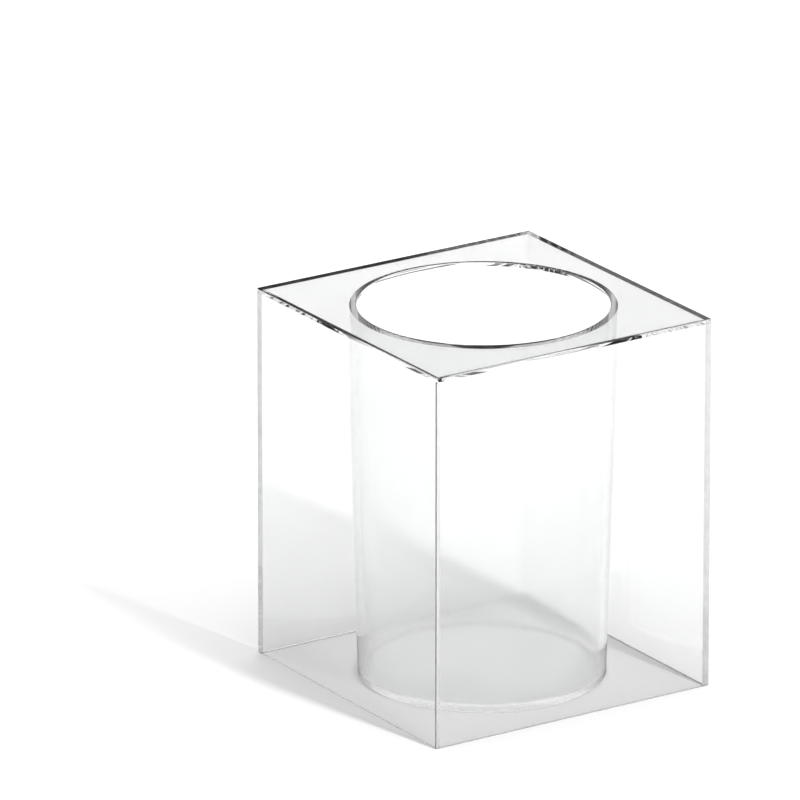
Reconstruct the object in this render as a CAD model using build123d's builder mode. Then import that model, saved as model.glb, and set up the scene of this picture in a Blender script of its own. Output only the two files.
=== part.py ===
from build123d import *
import os

# Pen holder cup in clear acrylic: a square case whose top plate has a round mouth, with a round,
# slightly tapered tube hanging under the mouth and closed by a disc. The seven pieces are cut and
# turned separately and solvent-welded face to face, so nothing moves.
#
# Frame: +Z points up out of the mouth, -Y out of the front panel and +X out of the right panel.
# The origin is the centre of the underside, on the surface that the cup stands on.
# All sizes are in millimetres.

# Driving dimensions: square case
CASE_WIDTH = 80.0  # outer width and depth
CASE_HEIGHT = 95.0
PANEL_THICKNESS = 1.5
TOP_THICKNESS = 1.5
EDGE_RADIUS = 0.4  # outer edges that a hand touches
FOOT_RADIUS = 0.2  # outer edges at the underside

# Driving dimensions: round well
MOUTH_DIAMETER = 61.8  # narrowest part of the mouth, flush with the inside of the tube
LIP_RADIUS = 0.3  # rounding from the top face down into the mouth
TUBE_WALL = 1.8
TUBE_FOOT_DIAMETER = 60.0  # outside of the tube at its lower end
BASE_THICKNESS = 1.8

# Worked out from the driving dimensions
case_half = CASE_WIDTH / 2
inner_half = case_half - PANEL_THICKNESS
corner_centre = case_half - EDGE_RADIUS
panel_height = CASE_HEIGHT - TOP_THICKNESS
mouth_radius = MOUTH_DIAMETER / 2
tube_foot_radius = TUBE_FOOT_DIAMETER / 2

os.makedirs("parts", exist_ok=True)

# Side panels: four alike, mitred at 45 degrees where they meet. Each one carries half of the
# rounded upright corner at either end. The angle turns the panel about +Z from the front.
PANEL_ANGLES = {"front_panel": 0, "right_panel": 90, "back_panel": 180, "left_panel": 270}

for panel_name, angle in PANEL_ANGLES.items():
    with BuildPart() as side_panel:
        with BuildSketch(Plane.XY.rotated((0, 0, angle))):
            with BuildLine():
                Line((-corner_centre, -case_half), (corner_centre, -case_half))
                right_corner = CenterArc((corner_centre, -corner_centre), EDGE_RADIUS, -90, 45)
                left_corner = CenterArc((-corner_centre, -corner_centre), EDGE_RADIUS, -90, -45)
                Polyline(
                    right_corner @ 1,
                    (inner_half, -inner_half),
                    (-inner_half, -inner_half),
                    left_corner @ 1,
                )
            make_face()
        extrude(amount=panel_height)
        # The outer face is wider than the inner one, so its lower edge is the longest there.
        lower_edges = side_panel.edges().group_by(Axis.Z)[0]
        outer_lower_edges = lower_edges.sort_by(SortBy.LENGTH)[-1:] + lower_edges.filter_by(GeomType.CIRCLE)
        fillet(outer_lower_edges, radius=FOOT_RADIUS)
    side_panel.part.label = panel_name
    export_step(side_panel.part, f"parts/{panel_name}.step")

# Top plate: lies on all four panels and on the upper end of the tube. The mouth is cut through
# its centre and its upper rim is lightly rounded.
with BuildPart() as top_plate:
    with BuildSketch(Plane.XY.offset(panel_height)):
        Rectangle(CASE_WIDTH, CASE_WIDTH)
    extrude(amount=TOP_THICKNESS)
    upright_edges = top_plate.edges().filter_by(Axis.Z)
    upper_edges = top_plate.edges().group_by(Axis.Z)[-1]
    fillet(upright_edges + upper_edges, radius=EDGE_RADIUS)
    with BuildSketch(Plane.XY.offset(panel_height)):
        Circle(mouth_radius)
    extrude(amount=TOP_THICKNESS, mode=Mode.SUBTRACT)
    upper_rim = top_plate.edges().filter_by(GeomType.CIRCLE).sort_by(SortBy.RADIUS)[-2:].sort_by(Axis.Z)[-1]
    fillet(upper_rim, radius=LIP_RADIUS)
top_plate.part.label = "top_plate"
export_step(top_plate.part, "parts/top_plate.step")

# Inner tube: hangs under the top plate, flush with the mouth, and narrows towards its lower end.
with BuildPart() as inner_tube:
    with BuildSketch(Plane.XZ):
        with BuildLine():
            Polyline(
                (tube_foot_radius - TUBE_WALL, BASE_THICKNESS),
                (tube_foot_radius, BASE_THICKNESS),
                (mouth_radius + TUBE_WALL, panel_height),
                (mouth_radius, panel_height),
                close=True,
            )
        make_face()
    revolve(axis=Axis.Z)
inner_tube.part.label = "inner_tube"
export_step(inner_tube.part, "parts/inner_tube.step")

# Tube base: a disc as wide as the tube's lower end, welded under it, that stands on the desk.
with BuildPart() as tube_base:
    with BuildSketch():
        Circle(tube_foot_radius)
    extrude(amount=BASE_THICKNESS)
    fillet(tube_base.edges().sort_by(Axis.Z)[0], radius=FOOT_RADIUS)
tube_base.part.label = "tube_base"
export_step(tube_base.part, "parts/tube_base.step")
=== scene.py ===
import math

import bmesh
import bpy
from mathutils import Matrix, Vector


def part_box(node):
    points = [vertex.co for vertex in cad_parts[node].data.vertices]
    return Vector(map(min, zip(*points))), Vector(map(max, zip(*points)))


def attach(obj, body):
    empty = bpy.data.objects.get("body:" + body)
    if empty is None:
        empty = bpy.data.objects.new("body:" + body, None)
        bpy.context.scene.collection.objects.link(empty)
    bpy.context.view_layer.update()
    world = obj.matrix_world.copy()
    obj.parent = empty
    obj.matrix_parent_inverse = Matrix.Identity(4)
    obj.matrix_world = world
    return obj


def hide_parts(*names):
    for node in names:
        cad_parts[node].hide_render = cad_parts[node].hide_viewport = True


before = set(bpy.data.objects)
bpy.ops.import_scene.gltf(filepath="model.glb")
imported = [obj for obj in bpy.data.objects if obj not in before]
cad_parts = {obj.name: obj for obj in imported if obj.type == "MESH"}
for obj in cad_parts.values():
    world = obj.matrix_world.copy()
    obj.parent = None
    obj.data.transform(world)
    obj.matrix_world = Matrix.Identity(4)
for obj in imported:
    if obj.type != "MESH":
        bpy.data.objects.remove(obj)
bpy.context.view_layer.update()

# ---------------------------------------------------------------------------------------------
# Sizes in metres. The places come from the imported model; only the edge roundings are given here.
# ---------------------------------------------------------------------------------------------
MM = 0.001
EDGE_RADIUS = 0.4 * MM
FOOT_RADIUS = 0.2 * MM
LIP_RADIUS = 0.3 * MM

top_low, top_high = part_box("top_plate")
front_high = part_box("front_panel")[1]
tube_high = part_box("inner_tube")[1]
base_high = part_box("tube_base")[1]

case_half = top_high.x
case_top = top_high.z
panel_top = top_low.z
inner_half = -front_high.y
corner_centre = case_half - EDGE_RADIUS
base_top = base_high.z


def distance_from_axis(vertex):
    return math.hypot(vertex.co.x, vertex.co.y)


mouth_radius = min(distance_from_axis(v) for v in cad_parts["top_plate"].data.vertices)
tube_top_radius = tube_high.x
foot_radius = base_high.x
tube_wall = tube_top_radius - mouth_radius

# Material slots of every piece: clear faces, clear seams, sawn feet with painted contact shade,
# milky seams and matt edges
ACRYLIC, WELD, FOOT, SEAM, EDGE = 0, 1, 2, 3, 4

# ---------------------------------------------------------------------------------------------
# Camera: a long lens, far away, at the photograph's angle
# ---------------------------------------------------------------------------------------------
VIEW_AZIMUTH = math.radians(-33.19)
VIEW_ELEVATION = math.radians(19.487)
VIEW_DISTANCE = 3.11575
VIEW_RIGHT = -20.308 * MM
VIEW_UP = 65.958 * MM
LENS_MM = 570.85


def make_camera():
    back = Vector(
        (
            math.sin(VIEW_AZIMUTH) * math.cos(VIEW_ELEVATION),
            -math.cos(VIEW_AZIMUTH) * math.cos(VIEW_ELEVATION),
            math.sin(VIEW_ELEVATION),
        )
    )
    right = Vector((math.cos(VIEW_AZIMUTH), math.sin(VIEW_AZIMUTH), 0))
    up = back.cross(right)
    data = bpy.data.cameras.new("camera")
    data.lens = LENS_MM
    data.clip_start = 0.1
    data.clip_end = 100.0
    camera = bpy.data.objects.new("camera", data)
    bpy.context.scene.collection.objects.link(camera)
    camera.location = back * VIEW_DISTANCE + right * VIEW_RIGHT + up * VIEW_UP
    camera.rotation_mode = "QUATERNION"
    camera.rotation_quaternion = (-back).to_track_quat("-Z", "Y")
    bpy.context.scene.camera = camera


# ---------------------------------------------------------------------------------------------
# Materials
# ---------------------------------------------------------------------------------------------
ACRYLIC_IOR = 1.49
# painted shade and light: the side panels are drawn greyer than the top plate of the same acrylic, a
# grey that stands in for shade seen through them, and the top plate's higher clearness is painted
# light
SHEET_CLEARNESS = 0.95  # share of the colour behind that shows through one sheet
TOP_CLEARNESS = 0.99
TUBE_CLEARNESS = 0.99
CLOUDINESS = 0.008  # how far the clearness wanders to either side
RED_SHARE = 0.997  # red against green and blue, a faint cool cast
SHEET_LIGHT = 0.70  # share of lamp light that passes one sheet
TUBE_LIGHT = 0.85
FOOT_LIGHT = 0.2
SHEET_LOSS = 0.0135  # share of light lost at each reflection inside a sheet
TUBE_LOSS = 0.0
# painted shade: a foot turns up to half of each reflection black, darkening the bottom edges where
# the cup stands
FOOT_LOSS = 0.5
MATT_ROUGHNESS = 0.2  # of the disc's edge
MATT_SPREAD = 1.1  # how much rougher the smeared patches of a matt surface are
TUBE_BLUR = 0.1  # roughness that softens what is seen through the tube
TRAPPED_FRESNEL = 0.5  # a surface that mirrors more than this share of the light traps it
BLOOM_LOW = 0.40  # share of a milky seam that the bloom covers, at least and at most
BLOOM_HIGH = 0.50
MITRE_DEPTH = 4  # bounces after which light passes a mitre without meeting its bloom
RING_DEPTH = 9
FAINT_BLOOM = 0.02  # share of a clear seam that the bloom covers, at most
MILK_WHITE = 0.97
NOISE_LOW = 0.3  # the noise lies mostly between these two values
NOISE_HIGH = 0.7
CLOUD_SCALE = 55.0  # noise scales are roughly in patches per metre
SMEAR_SCALE = 35.0
WAVE_SCALE = 42.0
BLOOM_SCALE = 400.0
STREAK_STRETCH = (420, 420, 9)
HAIRLINE_STRETCH = (2600, 2600, 40)
HAIRLINE_TURNS = ((20, 35, 0), (-50, 15, 40), (75, -25, 10))
HAIRLINE_START = 0.72  # noise value where a hairline begins to show, and where it is full
HAIRLINE_FULL = 0.80
HAIRLINE_SHADE = 0.06
HAIRLINE_ROUGHNESS = 0.10
HAZE_START = 0.62
HAZE_FULL = 0.75
HAZE_ROUGHNESS = 0.004
WAVE_HEIGHT = 0.001 * MM
STREAK_HEIGHT = 0.002 * MM
HAIRLINE_DEPTH = 0.0003 * MM


def new_material(name):
    material = bpy.data.materials.new(name)
    material.use_nodes = True
    nodes = material.node_tree.nodes
    nodes.clear()
    return material, nodes, material.node_tree.links


def add_value_node(nodes, kind, **inputs):
    node = nodes.new(kind)
    for name, value in inputs.items():
        node.inputs[name.replace("_", " ")].default_value = value
    return node


def add_math(nodes, links, operation, a, b, clamp=False):
    node = nodes.new("ShaderNodeMath")
    node.operation = operation
    node.use_clamp = clamp
    for socket, value in zip(node.inputs, (a, b)):
        if isinstance(value, (int, float)):
            socket.default_value = value
        else:
            links.new(value, socket)
    return node.outputs[0]


def add_noise(nodes, links, scale, detail, stretch=(1, 1, 1), turn=(0, 0, 0)):
    """Noise in object space. stretch squeezes it along each axis, after a turn in degrees."""
    coordinates = nodes.new("ShaderNodeTexCoord")
    mapping = nodes.new("ShaderNodeMapping")
    mapping.inputs["Scale"].default_value = stretch
    mapping.inputs["Rotation"].default_value = [math.radians(t) for t in turn]
    links.new(coordinates.outputs["Object"], mapping.inputs["Vector"])
    noise = add_value_node(nodes, "ShaderNodeTexNoise", Scale=scale, Detail=detail)
    links.new(mapping.outputs[0], noise.inputs["Vector"])
    return noise.outputs["Fac"]


def add_ramp(nodes, links, value, from_low, from_high, to_low, to_high):
    ramp = nodes.new("ShaderNodeMapRange")
    ramp.clamp = True
    ramp.inputs["From Min"].default_value = from_low
    ramp.inputs["From Max"].default_value = from_high
    ramp.inputs["To Min"].default_value = to_low
    ramp.inputs["To Max"].default_value = to_high
    links.new(value, ramp.inputs["Value"])
    return ramp.outputs["Result"]


def add_hairlines(nodes, links):
    """Fine rubbing marks, sparse and in three directions."""
    total = 0.0
    for turn in HAIRLINE_TURNS:
        lines = add_noise(nodes, links, 1.0, 1.0, stretch=HAIRLINE_STRETCH, turn=turn)
        marks = add_ramp(nodes, links, lines, HAIRLINE_START, HAIRLINE_FULL, 0.0, 1.0)
        total = add_math(nodes, links, "ADD", marks, total, clamp=True)
    return total


def add_surface_detail(nodes, links, shader, clearness, streaks, matt, blur):
    """Slight cloudiness, handling haze, hairlines and the waviness of cast sheet or drawn tube.
    matt is the least roughness of the surface. blur softens what is seen through it."""
    cloud = add_noise(nodes, links, CLOUD_SCALE, 3.0)
    hairlines = add_hairlines(nodes, links)
    cloudy = add_ramp(
        nodes, links, cloud, NOISE_LOW, NOISE_HIGH, clearness - CLOUDINESS, clearness + CLOUDINESS
    )
    marked = add_math(nodes, links, "MULTIPLY", hairlines, HAIRLINE_SHADE)
    tone = add_math(nodes, links, "SUBTRACT", cloudy, marked)
    colour = nodes.new("ShaderNodeCombineColor")
    links.new(add_math(nodes, links, "MULTIPLY", tone, RED_SHARE), colour.inputs["Red"])
    links.new(tone, colour.inputs["Green"])
    links.new(tone, colour.inputs["Blue"])
    links.new(colour.outputs[0], shader.inputs["Base Color"])

    smears = add_noise(nodes, links, SMEAR_SCALE, 4.0)
    smeared = MATT_SPREAD * matt + HAZE_ROUGHNESS
    haze = add_ramp(nodes, links, smears, HAZE_START, HAZE_FULL, matt, smeared)
    scuffed = add_math(nodes, links, "MULTIPLY", hairlines, HAIRLINE_ROUGHNESS)
    roughness = add_math(nodes, links, "ADD", haze, scuffed)
    if blur:
        # light trapped in the wall is not blurred and keeps its sharp lines
        fresnel = add_value_node(nodes, "ShaderNodeFresnel", IOR=ACRYLIC_IOR)
        passing = add_math(nodes, links, "LESS_THAN", fresnel.outputs[0], TRAPPED_FRESNEL)
        softened = add_math(nodes, links, "MULTIPLY", passing, blur)
        roughness = add_math(nodes, links, "ADD", roughness, softened)
    links.new(roughness, shader.inputs["Roughness"])

    waves = add_noise(nodes, links, WAVE_SCALE, 1.0)
    wavy = add_value_node(nodes, "ShaderNodeBump", Strength=1.0, Distance=WAVE_HEIGHT)
    links.new(waves, wavy.inputs["Height"])
    if streaks:
        drawn = add_noise(nodes, links, 1.0, 2.0, stretch=STREAK_STRETCH)
        streaky = add_value_node(nodes, "ShaderNodeBump", Strength=1.0, Distance=STREAK_HEIGHT)
        links.new(drawn, streaky.inputs["Height"])
        links.new(wavy.outputs[0], streaky.inputs["Normal"])
        wavy = streaky
    scratched = add_value_node(nodes, "ShaderNodeBump", Strength=1.0, Distance=HAIRLINE_DEPTH)
    scratched.invert = True
    links.new(hairlines, scratched.inputs["Height"])
    links.new(wavy.outputs[0], scratched.inputs["Normal"])
    links.new(scratched.outputs[0], shader.inputs["Normal"])


def acrylic_material(
    name, clearness, light, loss, grazing_shade=True, streaks=False, matt=0.0, blur=0.0
):
    """Clear acrylic. light is the share of lamp light that gets through it, and loss the share
    that each reflection inside it takes. grazing_shade lets less light through at a slant."""
    material, nodes, links = new_material(name)
    output = nodes.new("ShaderNodeOutputMaterial")
    shader = nodes.new("ShaderNodeBsdfPrincipled")
    shader.inputs["Transmission Weight"].default_value = 1.0
    shader.inputs["IOR"].default_value = ACRYLIC_IOR
    add_surface_detail(nodes, links, shader, clearness, streaks, matt, blur)

    # painted shade: every reflection inside a sheet turns a little light black, so long trapped
    # paths end dark
    fresnel = add_value_node(nodes, "ShaderNodeFresnel", IOR=ACRYLIC_IOR)
    dark = add_value_node(nodes, "ShaderNodeBsdfDiffuse", Color=(0, 0, 0, 1))
    trapped_shade = nodes.new("ShaderNodeMixShader")
    links.new(add_math(nodes, links, "MULTIPLY", fresnel.outputs[0], loss), trapped_shade.inputs["Fac"])
    links.new(shader.outputs[0], trapped_shade.inputs[1])
    links.new(dark.outputs[0], trapped_shade.inputs[2])

    # lamp light and light thrown back by the floor pass straight through, which keeps shadows soft
    geometry = nodes.new("ShaderNodeNewGeometry")
    side = nodes.new("ShaderNodeMix")
    side.data_type = "FLOAT"
    # light is dimmed where it enters a sheet, and at a sawn foot also where it leaves
    side.inputs["B"].default_value = 1.0 if light > FOOT_LIGHT else light
    links.new(geometry.outputs["Backfacing"], side.inputs["Factor"])
    if grazing_shade:
        passed = add_math(nodes, links, "SUBTRACT", 1.0, fresnel.outputs[0])
        links.new(add_math(nodes, links, "MULTIPLY", passed, light), side.inputs["A"])
    else:
        side.inputs["A"].default_value = light
    clear = nodes.new("ShaderNodeBsdfTransparent")
    links.new(side.outputs["Result"], clear.inputs["Color"])
    path = nodes.new("ShaderNodeLightPath")
    lamp_or_floor = add_math(
        nodes, links, "MAXIMUM", path.outputs["Is Shadow Ray"], path.outputs["Is Diffuse Ray"]
    )
    mix = nodes.new("ShaderNodeMixShader")
    links.new(lamp_or_floor, mix.inputs["Fac"])
    links.new(trapped_shade.outputs[0], mix.inputs[1])
    links.new(clear.outputs[0], mix.inputs[2])
    links.new(mix.outputs[0], output.inputs["Surface"])
    return material


def seam_material(name, low, high, depth):
    """A solvent-welded seam: clear, with an uneven milky bloom that covers low to high of it.
    Light that has already bounced depth times inside the acrylic passes the bloom unseen."""
    material, nodes, links = new_material(name)
    output = nodes.new("ShaderNodeOutputMaterial")
    clear = add_value_node(nodes, "ShaderNodeBsdfTransparent", Color=(1, 1, 1, 1))
    milky = add_value_node(nodes, "ShaderNodeBsdfDiffuse", Color=(*[MILK_WHITE] * 3, 1))
    patches = add_noise(nodes, links, BLOOM_SCALE, 3.0)
    cover = add_ramp(nodes, links, patches, NOISE_LOW, NOISE_HIGH, low, high)
    path = nodes.new("ShaderNodeLightPath")
    near = add_math(nodes, links, "LESS_THAN", path.outputs["Ray Depth"], depth)
    mix = nodes.new("ShaderNodeMixShader")
    links.new(add_math(nodes, links, "MULTIPLY", cover, near), mix.inputs["Fac"])
    links.new(clear.outputs[0], mix.inputs[1])
    links.new(milky.outputs[0], mix.inputs[2])
    links.new(mix.outputs[0], output.inputs["Surface"])
    return material


# the panels' lower clearness is painted shade, the top plate's higher clearness painted light
sheet = acrylic_material("clear_sheet", SHEET_CLEARNESS, SHEET_LIGHT, SHEET_LOSS)
top_sheet = acrylic_material("clear_top_sheet", TOP_CLEARNESS, SHEET_LIGHT, SHEET_LOSS)
base_sheet = acrylic_material(
    "clear_base_sheet", TUBE_CLEARNESS, TUBE_LIGHT, SHEET_LOSS, grazing_shade=False
)
tube = acrylic_material(
    "clear_tube",
    TUBE_CLEARNESS,
    TUBE_LIGHT,
    TUBE_LOSS,
    grazing_shade=False,
    streaks=True,
    blur=TUBE_BLUR,
)
# the feet carry painted contact shade along the bottom edges
foot = acrylic_material("shaded_foot", SHEET_CLEARNESS, FOOT_LIGHT, FOOT_LOSS)
weld = seam_material("solvent_weld", 0.0, FAINT_BLOOM, MITRE_DEPTH)
mitre_weld = seam_material("mitre_weld", BLOOM_LOW, BLOOM_HIGH, MITRE_DEPTH)
ring_weld = seam_material("ring_weld", BLOOM_LOW, BLOOM_HIGH, RING_DEPTH)
matt_edge = acrylic_material(
    "matt_edge", TUBE_CLEARNESS, TUBE_LIGHT, TUBE_LOSS, grazing_shade=False, matt=MATT_ROUGHNESS
)


# ---------------------------------------------------------------------------------------------
# Meshes: every piece is a stack of rings, joined by bands of faces
# ---------------------------------------------------------------------------------------------
ROUND_STEPS = 384  # of the tube and its base
SIDE_STEPS = 96  # of each side of the top plate
CORNER_STEPS = 6
ROUNDING_STEPS = 6
FOOT_STEPS = 4
SHARP_ANGLE = math.radians(30)  # edges that turn further than this stay sharp


def make_piece(name, node, rings, bands, closed_profile=False, caps=()):
    """A closed skin over rings of equal length. bands gives the slot of each band between rings.
    closed_profile joins the last ring to the first; caps are (ring number, slot) for flat ends."""
    mesh = bpy.data.meshes.new(name)
    work = bmesh.new()
    rows = [[work.verts.new(p) for p in ring] for ring in rings]
    count = len(rows[0])
    last = len(rows) if closed_profile else len(rows) - 1
    for i in range(last):
        low, high = rows[i], rows[(i + 1) % len(rows)]
        for k in range(count):
            n = (k + 1) % count
            face = work.faces.new((low[k], low[n], high[n], high[k]))
            slot = bands[i]
            face.material_index = slot(k) if callable(slot) else slot
    for ring, slot in caps:
        face = work.faces.new(rows[ring])
        face.material_index = slot
    bmesh.ops.remove_doubles(work, verts=work.verts, dist=1e-7)
    bmesh.ops.recalc_face_normals(work, faces=work.faces)
    for face in work.faces:
        face.smooth = True
    for edge in work.edges:
        if len(edge.link_faces) == 2:
            edge.smooth = edge.calc_face_angle() < SHARP_ANGLE
    work.to_mesh(mesh)
    work.free()
    own_materials = {"inner_tube": tube, "tube_base": base_sheet, "top_plate": top_sheet}
    mesh.materials.append(own_materials.get(node, sheet))
    mesh.materials.append(weld)
    mesh.materials.append(foot)
    mesh.materials.append(ring_weld if node in ("inner_tube", "tube_base") else mitre_weld)
    mesh.materials.append(matt_edge)
    piece = bpy.data.objects.new(name, mesh)
    bpy.context.scene.collection.objects.link(piece)
    normals = piece.modifiers.new("flat_faces_stay_flat", "WEIGHTED_NORMAL")
    normals.keep_sharp = True
    normals.weight = 100
    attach(piece, "root")
    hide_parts(node)


def arc_angles(steps, start, end):
    """Angles in radians from start to end degrees, both included."""
    return [math.radians(start + (end - start) * i / steps) for i in range(steps + 1)]


def circle(radius, z, directions):
    return [Vector((radius * d.x, radius * d.y, z)) for d in directions]


# Side panels
def panel_outline(inset, z):
    """Plan of the front panel at height z, its outer boundary drawn in by inset."""
    radius = EDGE_RADIUS - inset
    points = []
    for side, start in ((-1, 225), (1, 270)):
        for angle in arc_angles(CORNER_STEPS, start, start + 45):
            x = side * corner_centre + radius * math.cos(angle)
            y = -corner_centre + radius * math.sin(angle)
            points.append(Vector((x, y, z)))
    points.append(Vector((inner_half, -inner_half, z)))
    points.append(Vector((-inner_half, -inner_half, z)))
    return points


def make_panel(name, node, turn):
    """The front panel, turned about the cup's axis."""
    levels = []
    for angle in arc_angles(FOOT_STEPS, 0, 90):
        levels.append((FOOT_RADIUS * (1 - math.sin(angle)), FOOT_RADIUS * (1 - math.cos(angle))))
    levels.append((0.0, panel_top))
    rings = []
    c, s = math.cos(turn), math.sin(turn)
    for inset, z in levels:
        outline = panel_outline(inset, z)
        rings.append([Vector((c * p.x - s * p.y, s * p.x + c * p.y, p.z)) for p in outline])
    count = len(rings[0])

    def slot(k):
        return SEAM if k in (count - 3, count - 1) else ACRYLIC

    bands = [slot] * (len(rings) - 1)
    make_piece(name, node, rings, bands, caps=((0, FOOT), (len(rings) - 1, WELD)))


for panel, turn in (("front", 0), ("right", 90), ("back", 180), ("left", 270)):
    make_panel(f"clear_{panel}_panel", f"{panel}_panel", math.radians(turn))


# Top plate
def square(half, radius, z):
    """A square ring of the given half width whose corners are rounded by radius."""
    ring = []
    centre = half - radius
    for quadrant in range(4):
        start = quadrant * 90 - 90
        c = round(math.cos(math.radians(start + 90)))
        s = round(math.sin(math.radians(start + 90)))
        for i in range(1, SIDE_STEPS):
            x = -centre + 2 * centre * i / SIDE_STEPS
            ring.append(Vector((c * x + s * half, s * x - c * half, z)))
        for angle in arc_angles(CORNER_STEPS, start, start + 90):
            x = c * centre + s * centre + radius * math.cos(angle)
            y = s * centre - c * centre + radius * math.sin(angle)
            ring.append(Vector((x, y, z)))
    return ring


def make_top():
    inset_ring = square(corner_centre, 0.0, case_top)
    directions = [Vector((p.x, p.y)).normalized() for p in inset_ring]
    rings, bands = [], []

    def add(ring, slot):
        rings.append(ring)
        bands.append(slot)

    add(circle(mouth_radius, panel_top, directions), ACRYLIC)
    for angle in arc_angles(ROUNDING_STEPS, 180, 90):
        r = mouth_radius + LIP_RADIUS + LIP_RADIUS * math.cos(angle)
        z = case_top - LIP_RADIUS + LIP_RADIUS * math.sin(angle)
        add(circle(r, z, directions), ACRYLIC)
    for angle in arc_angles(ROUNDING_STEPS, 90, 0):
        radius = EDGE_RADIUS * math.cos(angle)
        z = case_top - EDGE_RADIUS + EDGE_RADIUS * math.sin(angle)
        add(square(corner_centre + radius, radius, z), ACRYLIC)
    add(square(case_half, EDGE_RADIUS, panel_top), WELD)
    add(square(inner_half, 0.0, panel_top), ACRYLIC)
    add(circle(tube_top_radius, panel_top, directions), WELD)
    make_piece("clear_top_plate", "top_plate", rings, bands, closed_profile=True)


make_top()

# Tube and its base
directions = [Vector((math.cos(a), math.sin(a))) for a in arc_angles(ROUND_STEPS, 0, 360)[:-1]]

make_piece(
    "clear_inner_tube",
    "inner_tube",
    [
        circle(foot_radius - tube_wall, base_top, directions),
        circle(foot_radius, base_top, directions),
        circle(tube_top_radius, panel_top, directions),
        circle(mouth_radius, panel_top, directions),
    ],
    [SEAM, ACRYLIC, WELD, ACRYLIC],
    closed_profile=True,
)

base_rings = [
    circle(foot_radius - tube_wall, base_top, directions),
    circle(foot_radius, base_top, directions),
]
base_bands = [SEAM]
for angle in arc_angles(FOOT_STEPS, 0, -90):
    r = foot_radius - FOOT_RADIUS + FOOT_RADIUS * math.cos(angle)
    z = FOOT_RADIUS + FOOT_RADIUS * math.sin(angle)
    base_rings.append(circle(r, z, directions))
    base_bands.append(EDGE)
base_rings.append(circle(foot_radius - tube_wall, 0.0, directions))
make_piece(
    "clear_tube_base",
    "tube_base",
    base_rings,
    base_bands + [ACRYLIC],
    caps=((0, ACRYLIC), (len(base_rings) - 1, ACRYLIC)),
)


# ---------------------------------------------------------------------------------------------
# Stage: floor, world and lamps. Sizes and places are in metres and powers in watts.
# ---------------------------------------------------------------------------------------------
FLOOR_HALF_WIDTH = 3.0
FLOOR_GAP = 0.05 * MM  # keeps the floor and the underside of the cup apart
FLOOR_WHITE = 0.9
# painted reflection: the floor's grey where the acrylic mirrors it
FLOOR_MIRRORED = 0.15  # its white as the acrylic mirrors it
SKY_STRENGTH = 0.15
KEY_WIDTH = 0.09
KEY_HEIGHT = 1.2
KEY_POWER = 19.0
KEY_PLAN = Vector((0.133, -0.991))  # where the key lamp stands in plan: the front, a little right
KEY_ELEVATION = math.radians(40)
KEY_DISTANCE = 1.6
SOFTBOX_WIDTH = 3.0
SOFTBOX_POWER = 56.0
SOFTBOX_PLACE = (0, 0, 2.2)
BACKDROP_WIDTH = 0.3
BACKDROP_POWER = 1.2
BACKDROP_PLACE = (0.3, 0.5, 0.3)
RING_RADIUS = 0.35
RING_HEIGHT = 0.18
RING_STEPS = 96
RING_GLOW = 1.25


def make_floor():
    mesh = bpy.data.meshes.new("floor")
    corners = [Vector((x, y)) * FLOOR_HALF_WIDTH for x, y in ((-1, -1), (1, -1), (1, 1), (-1, 1))]
    mesh.from_pydata([(c.x, c.y, -FLOOR_GAP) for c in corners], [], [(0, 1, 2, 3)])
    floor = bpy.data.objects.new("floor", mesh)
    bpy.context.scene.collection.objects.link(floor)
    material, nodes, links = new_material("pale_floor")
    output = nodes.new("ShaderNodeOutputMaterial")
    shader = add_value_node(nodes, "ShaderNodeBsdfDiffuse", Color=(*[FLOOR_WHITE] * 3, 1))
    # painted reflection: the floor is drawn dark grey for rays mirrored off the acrylic, so its
    # reflection in the acrylic is dim and the panes look greyer
    mirrored = add_value_node(nodes, "ShaderNodeBsdfDiffuse", Color=(*[FLOOR_MIRRORED] * 3, 1))
    path = nodes.new("ShaderNodeLightPath")
    reflected = add_math(
        nodes,
        links,
        "SUBTRACT",
        path.outputs["Is Glossy Ray"],
        path.outputs["Is Transmission Ray"],
        clamp=True,
    )
    mix = nodes.new("ShaderNodeMixShader")
    links.new(reflected, mix.inputs["Fac"])
    links.new(shader.outputs[0], mix.inputs[1])
    links.new(mirrored.outputs[0], mix.inputs[2])
    links.new(mix.outputs[0], output.inputs["Surface"])
    mesh.materials.append(material)


def make_world():
    world = bpy.data.worlds.new("studio")
    bpy.context.scene.world = world
    world.use_nodes = True
    background = world.node_tree.nodes["Background"]
    background.inputs["Color"].default_value = (1, 1, 1, 1)
    background.inputs["Strength"].default_value = SKY_STRENGTH


def add_lamp(name, width, height, power):
    """A rectangular lamp that faces straight down until it is turned."""
    data = bpy.data.lights.new(name, "AREA")
    data.shape = "RECTANGLE"
    data.size = width
    data.size_y = height
    data.energy = power
    lamp = bpy.data.objects.new(name, data)
    bpy.context.scene.collection.objects.link(lamp)
    return lamp


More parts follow.
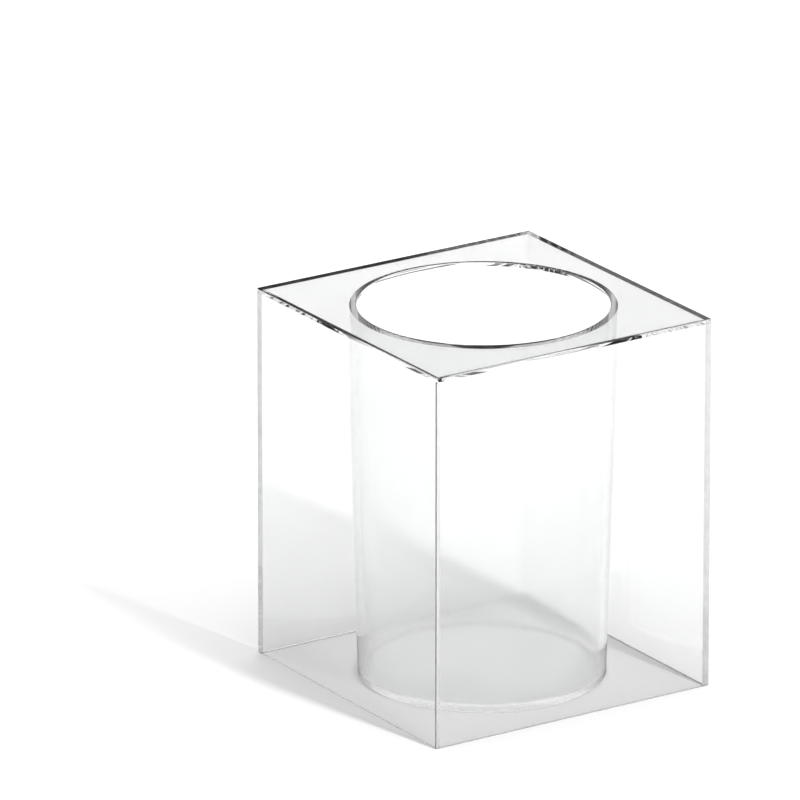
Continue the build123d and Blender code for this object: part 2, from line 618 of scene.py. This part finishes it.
def make_key():
    key = add_lamp("key", KEY_WIDTH, KEY_HEIGHT, KEY_POWER)
    plan = KEY_PLAN * math.cos(KEY_ELEVATION)
    direction = Vector((plan.x, plan.y, math.sin(KEY_ELEVATION)))
    key.location = direction * KEY_DISTANCE
    key.rotation_mode = "QUATERNION"
    key.rotation_quaternion = direction.to_track_quat("Z", "Y")
    key.visible_glossy = False
    key.visible_transmission = False


def make_softbox():
    softbox = add_lamp("softbox", SOFTBOX_WIDTH, SOFTBOX_WIDTH, SOFTBOX_POWER)
    softbox.location = SOFTBOX_PLACE


def make_backdrop_lamp():
    """Brightens the floor behind the cup."""
    lamp = add_lamp("backdrop_lamp", BACKDROP_WIDTH, BACKDROP_WIDTH, BACKDROP_POWER)
    lamp.location = BACKDROP_PLACE
    lamp.visible_camera = False
    lamp.visible_glossy = False
    lamp.visible_transmission = False


def make_reflector():
    """A low glowing ring round the cup, seen only through the acrylic and in its reflections."""
    mesh = bpy.data.meshes.new("reflector")
    work = bmesh.new()
    angles = arc_angles(RING_STEPS, 0, 360)[:-1]
    low = [work.verts.new((RING_RADIUS * math.cos(a), RING_RADIUS * math.sin(a), 0)) for a in angles]
    high = [work.verts.new((v.co.x, v.co.y, RING_HEIGHT)) for v in low]
    for k in range(RING_STEPS):
        n = (k + 1) % RING_STEPS
        work.faces.new((low[k], low[n], high[n], high[k]))
    work.to_mesh(mesh)
    work.free()
    material, nodes, links = new_material("white_card")
    output = nodes.new("ShaderNodeOutputMaterial")
    glow = nodes.new("ShaderNodeEmission")
    glow.inputs["Strength"].default_value = RING_GLOW
    links.new(glow.outputs[0], output.inputs["Surface"])
    mesh.materials.append(material)
    reflector = bpy.data.objects.new("reflector", mesh)
    bpy.context.scene.collection.objects.link(reflector)
    reflector.visible_camera = False
    reflector.visible_diffuse = False
    reflector.visible_shadow = False


make_camera()
make_floor()
make_world()
make_key()
make_softbox()
make_backdrop_lamp()
make_reflector()

scene = bpy.context.scene
scene.view_settings.view_transform = "Standard"
scene.view_settings.look = "None"
cycles = scene.cycles
# forty bounces set how far trapped light is followed before it ends dark
cycles.max_bounces = 40
cycles.glossy_bounces = 64
cycles.transmission_bounces = 64
cycles.transparent_max_bounces = 64
cycles.diffuse_bounces = 4
